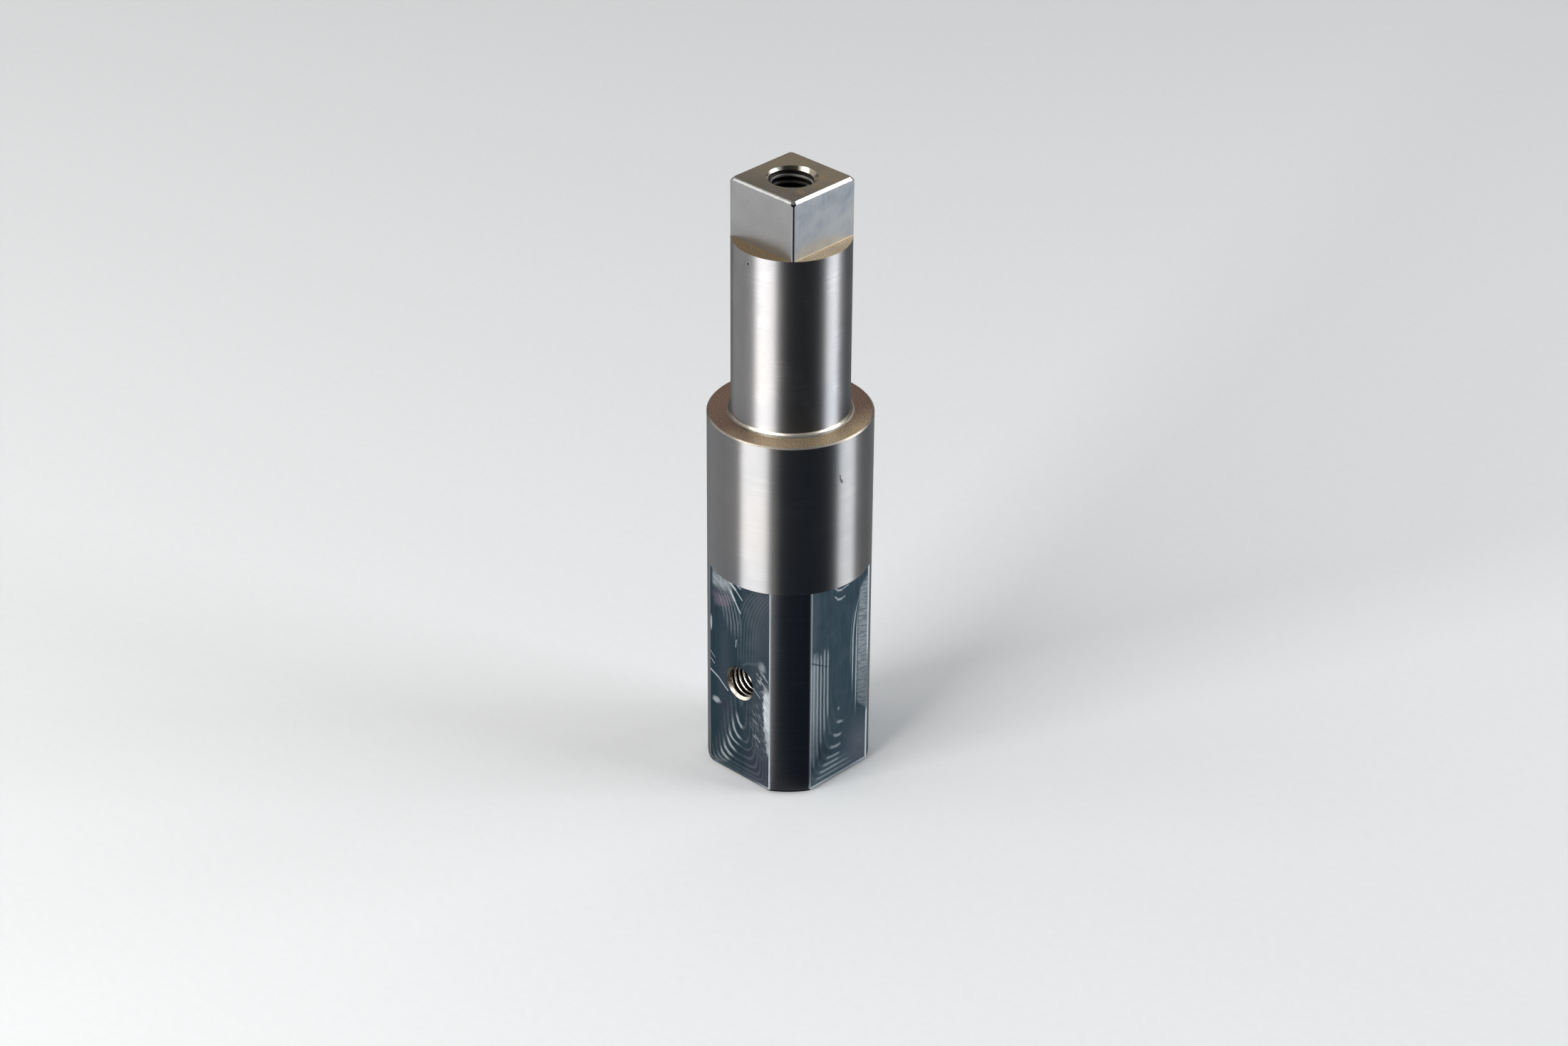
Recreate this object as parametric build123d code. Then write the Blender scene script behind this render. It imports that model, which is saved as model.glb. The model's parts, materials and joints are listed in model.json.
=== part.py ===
from build123d import *

from math import radians, tan
import os

# Stepped shaft with a square foot, a journal and a square head.
#
# It is one piece of steel: turned from round bar, then milled square at both
# ends, and tapped in its head and in one flat of its foot. It stands on the
# bottom end face. The origin is the centre of that face, and +Z runs up the
# axis. The flats face along X and Y, and the side hole opens towards -Y.

# ---- Driving dimensions, in millimetres and degrees ----

# Turned steps, from the bottom end to the top end
body_diameter = 35.0
journal_diameter = 25.0
foot_length = 50.0        # milled square, from the bottom end
body_length = 35.0        # left round, from the foot to the shoulder
journal_length = 40.0     # from the shoulder to the head
head_length = 13.0        # milled square, up to the top end

# Milled squares
foot_across_flats = 30.0
head_across_flats = 18.0

# Turned edges
bottom_chamfer = 1.0      # left at the four corners of the foot
shoulder_chamfer = 0.3
shoulder_fillet = 0.8
top_chamfer = 0.9         # left at the four corners of the head

# Edges broken after milling
head_rim_chamfer = 0.55   # along the top of the head's flats
foot_rim_chamfer = 0.65   # along the bottom of the foot's flats
head_corner_break = 0.08  # down the head's corners, each side of the round land
foot_corner_break = 0.15  # down the foot's corners, each side of the round land

# Tapped hole for an M10 screw, down the axis from the top end
end_drill_diameter = 8.5
end_mouth_diameter = 10.6
end_drill_depth = 25.0

# Tapped hole for an M8 screw, square to the axis through one flat of the foot
side_drill_diameter = 6.8
side_mouth_diameter = 7.9
side_drill_depth = 12.0
side_hole_height = 24.0   # from the bottom end to the hole's axis

drill_point_angle = 118.0

# Cutters run this far past the faces that they cut through
cutter_overrun = 2.0

# ---- Levels that follow from them ----

shoulder_level = foot_length + body_length
head_level = shoulder_level + journal_length
top_level = head_level + head_length


def turned_blank():
    """The shaft as it leaves the lathe: one stepped profile turned about Z."""
    body_radius = body_diameter / 2
    journal_radius = journal_diameter / 2
    fillet_start = (journal_radius + shoulder_fillet, shoulder_level)
    fillet_end = (journal_radius, shoulder_level + shoulder_fillet)
    with BuildPart() as blank:
        with BuildSketch(Plane.XZ):
            with BuildLine():
                Polyline(
                    (0, top_level),
                    (0, 0),
                    (body_radius - bottom_chamfer, 0),
                    (body_radius, bottom_chamfer),
                    (body_radius, shoulder_level - shoulder_chamfer),
                    (body_radius - shoulder_chamfer, shoulder_level),
                    fillet_start,
                )
                RadiusArc(fillet_start, fillet_end, shoulder_fillet)
                Polyline(
                    fillet_end,
                    (journal_radius, top_level - top_chamfer),
                    (journal_radius - top_chamfer, top_level),
                    (0, top_level),
                )
            make_face()
        revolve(axis=Axis.Z)
    return blank.part


def milled_away(across_flats, blank_diameter, bottom, top):
    """What the milling cutter takes off a round to leave a square between two levels."""
    outside = blank_diameter + 2 * cutter_overrun
    ring = Rectangle(outside, outside) - Rectangle(across_flats, across_flats)
    return extrude(Plane.XY.offset(bottom) * ring, amount=top - bottom)


def rim_bevel(across_flats, blank_diameter, size):
    """What a 45 degree bevel takes off the end of a square whose end face is at Z = 0."""
    outside = blank_diameter + 2 * cutter_overrun
    height = size + cutter_overrun
    start = Plane.XY.offset(-size)
    block = extrude(start * Rectangle(outside, outside), amount=height)
    square = start * Rectangle(across_flats, across_flats)
    return block - extrude(square, amount=height, taper=45)


def tapping_hole(drill_diameter, mouth_diameter, depth):
    """The drill and the countersink as one turned cutter, opening towards +Z at Z = 0."""
    drill_radius = drill_diameter / 2
    mouth_radius = mouth_diameter / 2
    sink_depth = mouth_radius - drill_radius
    point_length = drill_radius / tan(radians(drill_point_angle / 2))
    with BuildPart() as cutter:
        with BuildSketch(Plane.XZ):
            with BuildLine():
                Polyline(
                    (0, cutter_overrun),
                    (0, -depth - point_length),
                    (drill_radius, -depth),
                    (drill_radius, -sink_depth),
                    (mouth_radius, 0),
                    (mouth_radius + cutter_overrun, cutter_overrun),
                    (0, cutter_overrun),
                )
            make_face()
        revolve(axis=Axis.Z)
    return cutter.part


def corner_edges(shaft, bottom, top):
    """The straight upright edges between two levels, where a flat meets a round corner."""
    upright = shaft.edges().filter_by(Axis.Z)
    return upright.filter_by(lambda edge: bottom < edge.center().Z < top)


def stepped_shaft():
    """Turn, mill, break the edges, then drill both holes."""
    shaft = turned_blank()
    shaft -= milled_away(foot_across_flats, body_diameter, -cutter_overrun, foot_length)
    shaft -= milled_away(head_across_flats, journal_diameter, head_level, top_level + cutter_overrun)
    shaft = chamfer(corner_edges(shaft, 0, foot_length), foot_corner_break)
    shaft = chamfer(corner_edges(shaft, head_level, top_level), head_corner_break)
    head_bevel = rim_bevel(head_across_flats, journal_diameter, head_rim_chamfer)
    shaft -= Pos(0, 0, top_level) * head_bevel
    foot_bevel = rim_bevel(foot_across_flats, body_diameter, foot_rim_chamfer)
    shaft -= Rot(180, 0, 0) * foot_bevel

    end_hole = tapping_hole(end_drill_diameter, end_mouth_diameter, end_drill_depth)
    shaft -= Pos(0, 0, top_level) * end_hole

    side_hole = tapping_hole(side_drill_diameter, side_mouth_diameter, side_drill_depth)
    flat = Plane(origin=(0, -foot_across_flats / 2, side_hole_height), z_dir=(0, -1, 0))
    shaft -= flat * side_hole
    return shaft


os.makedirs("parts", exist_ok=True)
export_step(stepped_shaft(), "parts/stepped_shaft.step")
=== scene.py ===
# %% [markdown]
# # A stepped shaft: turned, milled and tapped
#
# This is one piece of steel. It was turned from round bar into a thick body
# and a thinner journal, milled square at both ends, and tapped twice: down its
# axis from the top, and into one flat of its foot.
#
# The CAD part holds its true form. This script dresses that form for the
# camera: it cuts the same shape as a fine mesh, adds the two screw threads,
# and gives each kind of surface the finish that its cutting tool leaves.

# %% Load the part that everything is fitted to
import json
from math import atan2, cos, pi, radians, sin, sqrt, tan

import bmesh
import bpy
from mathutils import Matrix, Vector


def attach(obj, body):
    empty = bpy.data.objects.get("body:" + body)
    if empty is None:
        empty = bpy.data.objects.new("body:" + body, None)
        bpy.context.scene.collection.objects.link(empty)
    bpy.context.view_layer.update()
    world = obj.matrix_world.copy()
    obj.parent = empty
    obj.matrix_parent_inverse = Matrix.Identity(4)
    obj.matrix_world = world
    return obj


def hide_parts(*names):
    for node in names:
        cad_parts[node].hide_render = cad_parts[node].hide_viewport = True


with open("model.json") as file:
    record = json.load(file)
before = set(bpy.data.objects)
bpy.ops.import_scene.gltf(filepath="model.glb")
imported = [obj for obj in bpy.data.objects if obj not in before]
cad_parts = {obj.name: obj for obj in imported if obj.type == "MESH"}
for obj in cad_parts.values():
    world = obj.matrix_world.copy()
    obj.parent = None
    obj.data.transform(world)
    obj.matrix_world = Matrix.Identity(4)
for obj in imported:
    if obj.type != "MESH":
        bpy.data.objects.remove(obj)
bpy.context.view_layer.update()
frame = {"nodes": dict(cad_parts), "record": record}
cad_shaft = frame["nodes"]["stepped_shaft"]
mounts = {mount["name"]: mount for mount in frame["record"]["mounts"]}
MM = 0.001

# %% [markdown]
# ## Reading the sizes
#
# Nothing here is measured twice. The levels of the steps and the places of the
# flats are read off the CAD part's own flat faces, and the radii of the round
# stretches and of the drilled holes come from its list of mounts. If the part
# changes, this script follows it.

# %% Read the steps and the flats off the CAD part

square_on = 0.9999
smallest_flat = 0.5 * MM**2


def face_places(node, axis):
    """Where a node's flat faces that are square to one axis lie along it."""
    places = set()
    for polygon in node.data.polygons:
        if abs(polygon.normal[axis]) > square_on and polygon.area > smallest_flat:
            places.add(round(polygon.center[axis], 5))
    return sorted(places)


levels = face_places(cad_shaft, 2)
bottom_level, foot_level, shoulder_level, head_level, top_level = levels
head_half, foot_half = face_places(cad_shaft, 0)[-2:]
body_radius = mounts["round_body"]["dims"]["r_mm"] * MM
journal_radius = mounts["journal"]["dims"]["r_mm"] * MM
print("levels in mm:", [round(level / MM, 2) for level in levels])
print("half widths in mm:", round(foot_half / MM, 2), round(head_half / MM, 2))

# %% [markdown]
# ## The turned blank
#
# A lathe makes a solid of revolution, so the blank is one profile of radius
# and height carried round the axis. Blender's Screw modifier would do that
# too. Building the rings directly keeps control of how many steps go round,
# and it closes both ends with clean caps, which the later cuts need.
#
# The small edges matter here. A turned edge is never knife sharp, and it is
# the chamfers and the fillet that catch the light.

# %% Turn a profile into a closed mesh

turning_steps = 360
fillet_steps = 8
bottom_chamfer = 1.0 * MM
shoulder_chamfer = 0.3 * MM
shoulder_fillet = 0.8 * MM
top_chamfer = 0.9 * MM


def mesh_piece(name, points, faces):
    """A mesh object made from points and faces, linked to the scene."""
    mesh = bpy.data.meshes.new(name)
    mesh.from_pydata(points, [], faces)
    piece = bpy.data.objects.new(name, mesh)
    bpy.context.scene.collection.objects.link(piece)
    return piece


def turned(name, profile, steps):
    """A closed solid turned about Z. Its profile may start in a tip at radius zero."""
    points, rings = [], []
    for radius, height in profile:
        count = steps if radius > 0 else 1
        rings.append([len(points) + step for step in range(count)])
        for step in range(count):
            angle = 2 * pi * step / steps
            points.append((radius * cos(angle), radius * sin(angle), height))
    faces = []
    for lower, upper in zip(rings, rings[1:]):
        for step in range(steps):
            after = (step + 1) % steps
            if len(lower) == 1:
                faces.append((lower[0], upper[after], upper[step]))
            else:
                faces.append((lower[step], lower[after], upper[after], upper[step]))
    if len(rings[0]) > 1:
        faces.append(tuple(reversed(rings[0])))
    faces.append(tuple(rings[-1]))
    return mesh_piece(name, points, faces)


# The fillet is a quarter circle that runs out of the shoulder and up the journal
fillet_arc = []
for step in range(fillet_steps + 1):
    turn = radians(90) * step / fillet_steps
    out = journal_radius + shoulder_fillet * (1 - sin(turn))
    up = shoulder_level + shoulder_fillet * (1 - cos(turn))
    fillet_arc.append((out, up))

blank_profile = [
    (body_radius - bottom_chamfer, bottom_level),
    (body_radius, bottom_level + bottom_chamfer),
    (body_radius, shoulder_level - shoulder_chamfer),
    (body_radius - shoulder_chamfer, shoulder_level),
    *fillet_arc,
    (journal_radius, top_level - top_chamfer),
    (journal_radius - top_chamfer, top_level),
]
shaft = turned("shaft", blank_profile, turning_steps)
print("blank:", len(shaft.data.polygons), "faces")

# %% [markdown]
# ## Milling the squares
#
# A milling cutter clears the round away outside a square, and leaves four
# flats with a land of the old round between each pair. One closed ring stands
# for everything that it takes off, and a Boolean modifier subtracts it. The
# Exact solver is worth its extra second: it keeps the flats truly flat.
#
# The ring's inner wall also carries the broken edges. After milling, someone
# runs a file down each corner, so a narrow face lies between flat and land.
# Two more rings, whose inner walls slope, cut the bevels round both ends.

# %% Make the rings that the milling cutter takes off

overrun = 2 * MM
head_rim_bevel = 0.55 * MM
foot_rim_bevel = 0.65 * MM
head_edge_break = 0.08 * MM
foot_edge_break = 0.15 * MM


def corner_outline(half, round_radius, edge_break):
    """A square's outline whose corners open out along the broken edges of its lands."""
    edge_turn = atan2(sqrt(round_radius**2 - half**2), half)
    break_turn = edge_turn / 2
    break_distance = round_radius * cos(edge_turn - break_turn) - edge_break * sin(break_turn)
    along = (break_distance - half * cos(break_turn)) / sin(break_turn)
    point_out = break_distance / cos(radians(45) - break_turn) * sin(radians(45))
    quarter = [(half, -along), (half, along), (point_out, point_out)]
    outline = []
    for turn in range(4):
        c, s = round(cos(turn * pi / 2)), round(sin(turn * pi / 2))
        outline += [(x * c - y * s, x * s + y * c) for x, y in quarter]
    return outline


def square_outline(half):
    """The four corners of a square about the axis."""
    return [(half, -half), (half, half), (-half, half), (-half, -half)]


def milling_ring(low_outline, low, high_outline, high):
    """A closed ring between two levels: its inner wall joins the outlines, its outer is twice as far out."""
    count = len(low_outline)
    points = [(x, y, low) for x, y in low_outline]
    points += [(x, y, high) for x, y in high_outline]
    points += [(2 * x, 2 * y, high) for x, y in low_outline]
    points += [(2 * x, 2 * y, low) for x, y in low_outline]
    faces = []
    for band in range(4):
        for step in range(count):
            after = (step + 1) % count
            start, end = band * count, (band + 1) % 4 * count
            faces.append((start + after, start + step, end + step, end + after))
    return mesh_piece("ring", points, faces)


def cut_away(piece, cutter):
    """Subtracts a cutter from a piece, keeps the result as the piece's mesh, and clears the cutter up."""
    modifier = piece.modifiers.new("cut", "BOOLEAN")
    modifier.operation = "DIFFERENCE"
    modifier.solver = "EXACT"
    modifier.object = cutter
    bpy.context.view_layer.update()
    result = piece.evaluated_get(bpy.context.evaluated_depsgraph_get())
    cut_mesh = bpy.data.meshes.new_from_object(result)
    piece.modifiers.clear()
    piece.data = cut_mesh
    bpy.data.objects.remove(cutter)


foot_outline = corner_outline(foot_half, body_radius, foot_edge_break)
head_outline = corner_outline(head_half, journal_radius, head_edge_break)
foot_square, head_square = square_outline(foot_half), square_outline(head_half)
foot_inside = square_outline(foot_half - foot_rim_bevel - overrun)
head_inside = square_outline(head_half - head_rim_bevel - overrun)
below, above = bottom_level - overrun, top_level + overrun
for ring in (
    (foot_outline, below, foot_outline, foot_level),
    (head_outline, head_level, head_outline, above),
    (head_square, top_level - head_rim_bevel, head_inside, above),
    (foot_inside, below, foot_square, bottom_level + foot_rim_bevel),
):
    cut_away(shaft, milling_ring(*ring))
print("milled:", len(shaft.data.polygons), "faces")

# %% [markdown]
# ## Tapping the holes
#
# A tap cuts a helical groove with a flat root and 60 degree flanks, and leaves
# the drilled wall as the crests. Four rows of points climb the hole as one
# helix: two along the groove's edges and two along its root. Every turn lifts
# them by one pitch, so the last column joins the first one a turn higher up.
#
# The groove fades out over one pitch at each end, like the tapered lead of a
# real tap, and the rows that would pass the ends are held level there. Points
# that meet are merged, which leaves a closed cutter.

# %% Build the space that a drill and a tap clear

thread_steps = 96
groove_rows = 4
spare_turns = 2
drill_point_half_angle = radians(59)
weld_distance = MM / 10000


def groove_points(drill_radius, thread, turns):
    """The points of a thread's groove, one column for each step round the hole."""
    pitch, low, high = thread["pitch"], -thread["depth"], thread["start"]
    root = pitch / 8
    flank = (thread["radius"] - drill_radius) * tan(radians(30))
    lifts = (-root / 2 - flank, -root / 2, root / 2, root / 2 + flank)
    radii = (drill_radius, thread["radius"], thread["radius"], drill_radius)
    points = []
    for step in range(thread_steps):
        angle = 2 * pi * step / thread_steps
        for turn in range(turns):
            start = low + (turn - spare_turns + step / thread_steps) * pitch
            for lift, radius in zip(lifts, radii):
                height = min(max(start + lift, low), high)
                fade = min(1, (height - low) / pitch, (high - height) / pitch)
                reach = drill_radius + (radius - drill_radius) * fade
                points.append((reach * cos(angle), reach * sin(angle), height))
    return points


def tap_cutter(drill_radius, drill_depth, thread):
    """The drilled and tapped space as one closed solid that opens towards +Z at Z = 0."""
    turns = int((thread["start"] + thread["depth"]) / thread["pitch"]) + 2 * spare_turns
    points, faces = groove_points(drill_radius, thread, turns), []
    per_step = turns * groove_rows
    for step in range(thread_steps):
        last = step == thread_steps - 1
        after = groove_rows if last else (step + 1) * per_step
        for row in range(per_step - 1 - (groove_rows if last else 0)):
            near, far = step * per_step + row, after + row
            faces.append((near, far, far + 1, near + 1))
    wall, tip = len(points), len(points) + thread_steps
    for step in range(thread_steps):
        angle = 2 * pi * step / thread_steps
        points.append((drill_radius * cos(angle), drill_radius * sin(angle), -drill_depth))
        after = (step + 1) % thread_steps
        faces.append((tip, wall + after, wall + step))
        faces.append((wall + step, wall + after, after * per_step, step * per_step))
    points.append((0, 0, -drill_depth - drill_radius / tan(drill_point_half_angle)))
    faces.append(tuple(step * per_step + per_step - 1 for step in range(thread_steps)))
    return mesh_piece("tap", points, faces)


def weld(cutter):
    """Merges the points of a cutter that meet, which closes it."""
    mesh = bmesh.new()
    mesh.from_mesh(cutter.data)
    bmesh.ops.remove_doubles(mesh, verts=mesh.verts, dist=weld_distance)
    bmesh.ops.dissolve_degenerate(mesh, edges=mesh.edges, dist=weld_distance)
    print(cutter.name, "open edges:", sum(not edge.is_manifold for edge in mesh.edges))
    mesh.to_mesh(cutter.data)
    mesh.free()


print("steps round a thread:", thread_steps)

# %% [markdown]
# Both holes are cut in the same way. The mount says which way a hole opens and
# how wide and deep it is drilled, and the screw's size gives the rest. A 90
# degree cone then sinks the mouth, so the thread breaks out of it in crescents.

# %% Drill, tap and countersink the two holes


def in_metres(**sizes_mm):
    """Sizes that are given in millimetres, in metres."""
    return {name: size * MM for name, size in sizes_mm.items()}


end_thread = in_metres(radius=5.0, pitch=1.5, depth=18.74, mouth=5.3, start=1.5)
side_thread = in_metres(radius=4.0, pitch=1.25, depth=9.68, mouth=3.95, start=-0.2)


def drill_hole(piece, mount, thread, face_place):
    """Cuts one tapped and countersunk hole where the mount says, from its open face inwards."""
    drill_radius, mouth = mount["dims"]["r_mm"] * MM, thread["mouth"]
    drill_depth = mount["dims"]["length_mm"] * MM + (mouth - drill_radius)
    tap = tap_cutter(drill_radius, drill_depth, thread)
    weld(tap)
    countersink = turned("countersink", [(0, -mouth), (mouth + overrun, overrun)], thread_steps * 2)
    outwards = Vector(mount["axis"])
    place = Matrix.Translation(face_place) @ outwards.to_track_quat("Z", "Y").to_matrix().to_4x4()
    for cutter in (tap, countersink):
        cutter.data.transform(place)
        cut_away(piece, cutter)


side_mount = mounts["side_tapped_hole"]
side_centre = Vector((side_mount["pos_m"][0], -foot_half, side_mount["pos_m"][2]))
drill_hole(shaft, mounts["end_tapped_hole"], end_thread, Vector((0, 0, top_level)))
drill_hole(shaft, side_mount, side_thread, side_centre)
check = bmesh.new()
check.from_mesh(shaft.data)
print("tapped:", len(check.faces), "faces; open edges:", sum(not e.is_manifold for e in check.edges))
print("volume in cubic millimetres:", round(check.calc_volume() / MM**3))
check.free()

# %% [markdown]
# ## Sorting the surfaces by the tool that made them
#
# Each cutting tool leaves its own finish, so every face is sorted by where it
# lies and which way it points, and gets the material slot of its tool. The
# sorting reads only sizes that were set above, so it follows the part too.

# %% Sort the faces into finishes

FINISHES = ["turned_steel", "turned_edge", "faced_steel", "faced_top", "satin_flat", "brushed_flat"]
FINISHES += ["swirled_flat", "stepped_flat", "broken_edge", "foot_bevel", "sunk_steel", "tapped_steel"]
near = 0.02 * MM
slant = 0.001
slope_45 = sin(radians(45))
cone_slack = 0.01
end_hole_reach = 30 * MM


def in_side_hole(centre):
    """True inside the side hole's mouth and bore, behind the foot's flat."""
    from_axis = sqrt(centre.x**2 + (centre.z - side_centre.z) ** 2)
    return from_axis < side_thread["mouth"] + near and -foot_half + near / 4 < centre.y < 0


def in_end_hole(centre):
    """True inside the end hole's mouth and bore, below the top face."""
    from_axis = sqrt(centre.x**2 + centre.y**2)
    return from_axis < end_thread["mouth"] + near and centre.z > top_level - end_hole_reach


def finish_of(centre, normal):
    """The name of the finish that a face has, from its centre and its normal."""
    distance = sqrt(centre.x**2 + centre.y**2)
    if abs(normal.z) > 1 - slant:
        if centre.z > top_level - near:
            return "faced_top"
        if not in_end_hole(centre):
            return "faced_steel"
    if in_side_hole(centre):
        return "sunk_steel" if abs(normal.y + slope_45) < cone_slack else "tapped_steel"
    if in_end_hole(centre):
        return "sunk_steel" if abs(normal.z - slope_45) < cone_slack else "tapped_steel"
    if abs(normal.z) < slant:
        out = centre.dot(normal)
        along_y = abs(normal.y) > abs(normal.x)
        if max(abs(normal.x), abs(normal.y)) > square_on:
            if abs(out - foot_half) < near and centre.z < foot_level:
                return "swirled_flat" if along_y else "stepped_flat"
            if abs(out - head_half) < near:
                return "satin_flat" if along_y else "brushed_flat"
        if abs(out - distance) < near:
            if min(abs(distance - body_radius), abs(distance - journal_radius)) < near:
                return "turned_steel"
    if centre.z < bottom_chamfer:
        return "foot_bevel"
    in_corner = shoulder_level - shoulder_chamfer < centre.z < shoulder_level + shoulder_fillet
    return "turned_edge" if in_corner else "broken_edge"


areas = dict.fromkeys(FINISHES, 0)
for polygon in shaft.data.polygons:
    finish = finish_of(polygon.center, polygon.normal)
    polygon.material_index = FINISHES.index(finish)
    areas[finish] += polygon.area
for finish, area in areas.items():
    print(f"{finish}: {area / MM**2:.0f} square mm")

# %% [markdown]
# ## Normals that know the part is round
#
# Smooth shading guesses a normal by averaging the faces round a point, and
# next to a Boolean cut that guess is a little off, which shows as a kink in a
# highlight. On a turned surface there is nothing to guess: the normal leans
# straight away from the axis. So the turned corners get their exact normals,
# and everything else keeps the usual ones, split at sharp edges.

# %% Set exact normals on the turned surfaces

sharp_angle = radians(12)
mesh = shaft.data
mesh.polygons.foreach_set("use_smooth", [True] * len(mesh.polygons))
mesh.set_sharp_from_angle(angle=sharp_angle)
normals = [Vector(corner.vector) for corner in mesh.corner_normals]
for polygon in mesh.polygons:
    if FINISHES[polygon.material_index] == "turned_steel" and abs(polygon.normal.z) < slant:
        for corner in polygon.loop_indices:
            place = mesh.vertices[mesh.loops[corner].vertex_index].co
            normals[corner] = Vector((place.x, place.y, 0)).normalized()
mesh.normals_split_custom_set(normals)
print("corner normals set:", len(normals))

# %% [markdown]
# ## A shorthand for shader sums
#
# The finishes below are worked out from where a point lies on the part: how
# high it is, how far across a flat, how close to a scratch. In Blender that
# means many small Math nodes. Wiring them by hand hides the idea, so this
# class lets the script write an ordinary sum and adds the nodes behind it.

# %% Write node maths as ordinary sums


class Wire:
    """A value on its way through a material's nodes. Sums on it add Math nodes."""

    def __init__(self, tree, socket):
        self.tree = tree
        self.socket = socket

    def into(self, socket):
        """Joins this value to a node's input."""
        self.tree.links.new(self.socket, socket)

    def maths(self, operation, *others):
        """The result of one Math node on this value and the others."""
        node = self.tree.nodes.new("ShaderNodeMath")
        node.operation = operation
        self.into(node.inputs[0])
        for place, other in enumerate(others, start=1):
            plug(other, node.inputs[place])
        return Wire(self.tree, node.outputs[0])

    def __add__(self, other):
        return self.maths("ADD", other)

    def __sub__(self, other):
        return self.maths("SUBTRACT", other)

    def __rsub__(self, other):
        return self.maths("MULTIPLY_ADD", -1, other)

    def __mul__(self, other):
        return self.maths("MULTIPLY", other)

    def __truediv__(self, other):
        return self.maths("DIVIDE", other)

    __radd__ = __add__
    __rmul__ = __mul__


def plug(value, socket):
    """Sets an input to a plain value, or joins a wire to it."""
    if isinstance(value, Wire):
        value.into(socket)
    else:
        socket.default_value = value


print("sums on wires ready")

# %% [markdown]
# A mask is a number from 0 to 1 that says how much of something a point has.
# Nearly every mask below is a ramp. Its two limits are distances on the part
# in millimetres, or values of a noise, which lie about 0.5.

# %% Make masks, mixes and noise


def ramp(value, start, end):
    """Rises smoothly from 0 at start to 1 at end, and falls if end is the lower of the two."""
    node = value.tree.nodes.new("ShaderNodeMapRange")
    node.interpolation_type = "SMOOTHSTEP"
    value.into(node.inputs["Value"])
    node.inputs["From Min"].default_value = min(start, end)
    node.inputs["From Max"].default_value = max(start, end)
    node.inputs["To Min"].default_value = 0 if start < end else 1
    node.inputs["To Max"].default_value = 1 if start < end else 0
    return Wire(value.tree, node.outputs["Result"])


def between(value, low, high, soft):
    """1 between low and high, and 0 outside them, with soft ends."""
    return ramp(value, low - soft, low + soft) * ramp(value, high + soft, high - soft)


def either(first, *others):
    """The largest of some masks."""
    for other in others:
        first = first.maths("MAXIMUM", other)
    return first


def mixed(share, first, second):
    """A colour between two colours, each of them three numbers or a wire."""
    node = share.tree.nodes.new("ShaderNodeMix")
    node.data_type = "RGBA"
    share.into(node.inputs["Factor"])
    for colour, name in ((first, "A"), (second, "B")):
        socket = next(s for s in node.inputs if s.name == name and s.type == "RGBA")
        plug(colour if isinstance(colour, Wire) else (*colour, 1), socket)
    return Wire(share.tree, next(s for s in node.outputs if s.type == "RGBA"))


def noise(place, lumps, detail=2):
    """Smooth random values. Lumps is how many fit in a millimetre: one number, or one for each axis."""
    scale = place.tree.nodes.new("ShaderNodeVectorMath")
    scale.operation = "MULTIPLY"
    place.into(scale.inputs[0])
    scale.inputs[1].default_value = lumps if isinstance(lumps, tuple) else (lumps,) * 3
    texture = place.tree.nodes.new("ShaderNodeTexNoise")
    place.tree.links.new(scale.outputs[0], texture.inputs["Vector"])
    texture.inputs["Scale"].default_value = 1
    texture.inputs["Detail"].default_value = detail
    return Wire(place.tree, texture.outputs["Fac"])


print("masks, mixes and noise ready")

# %% [markdown]
# Every finish starts with a metal shader and the place of a point. It ends
# with a colour, a roughness and a height, which the Bump node turns into a
# tilt of the surface.
#
# Wear and painted light aren't the same all round, so some finishes need to
# know how far a point lies to the right of the axis or in front of it.

# %% Start a finish and end it

front_turn = radians(-46.2955)
foot_mm, shoulder_mm, head_mm, top_mm = [level / MM for level in levels[1:]]
finishes = {}


def new_finish(name):
    """Starts a metal finish: its shader, and the place of a point on the part in millimetres."""
    material = finishes[name] = bpy.data.materials.new(name)
    material.use_nodes = True
    tree = material.node_tree
    shader = tree.nodes["Principled BSDF"]
    shader.inputs["Metallic"].default_value = 1
    coordinates = tree.nodes.new("ShaderNodeTexCoord")
    in_mm = tree.nodes.new("ShaderNodeVectorMath")
    in_mm.operation = "SCALE"
    in_mm.inputs["Scale"].default_value = 1 / MM
    tree.links.new(coordinates.outputs["Object"], in_mm.inputs[0])
    return shader, Wire(tree, in_mm.outputs[0])


def end_finish(shader, colour, roughness, height, strength=1.0):
    """Joins a colour, a roughness and a height in millimetres to a shader."""
    colour.into(shader.inputs["Base Color"])
    roughness.into(shader.inputs["Roughness"])
    bump = height.tree.nodes.new("ShaderNodeBump")
    bump.inputs["Distance"].default_value = MM
    bump.inputs["Strength"].default_value = strength
    height.into(bump.inputs["Height"])
    height.tree.links.new(bump.outputs["Normal"], shader.inputs["Normal"])
    print(f"{list(finishes)[-1]}: {len(height.tree.nodes)} nodes")


def parts_of(vector):
    """A vector's X, Y and Z as three wires."""
    node = vector.tree.nodes.new("ShaderNodeSeparateXYZ")
    vector.into(node.inputs[0])
    return [Wire(vector.tree, output) for output in node.outputs]


def seen_from(place, turn):
    """How far a point lies to the right of the axis and in front of it, seen from some way round."""
    x, y, _ = parts_of(place)
    return y * cos(turn) - x * sin(turn), x * cos(turn) + y * sin(turn)


def facing_of(place):
    """Which way a face points."""
    geometry = place.tree.nodes.new("ShaderNodeNewGeometry")
    return parts_of(Wire(place.tree, geometry.outputs["True Normal"]))


print("levels for the finishes, in mm:", round(foot_mm), round(shoulder_mm), round(head_mm), round(top_mm))

# %% [markdown]
# ## Drawing on a surface
#
# A scratch or a bruise is a mask: a number that is 1 on the mark and 0 away
# from it. It comes from the distance between a point of the surface and the
# mark. Two distances across and up a face are enough to draw with.

# %% Draw lines, strokes and spots


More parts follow.
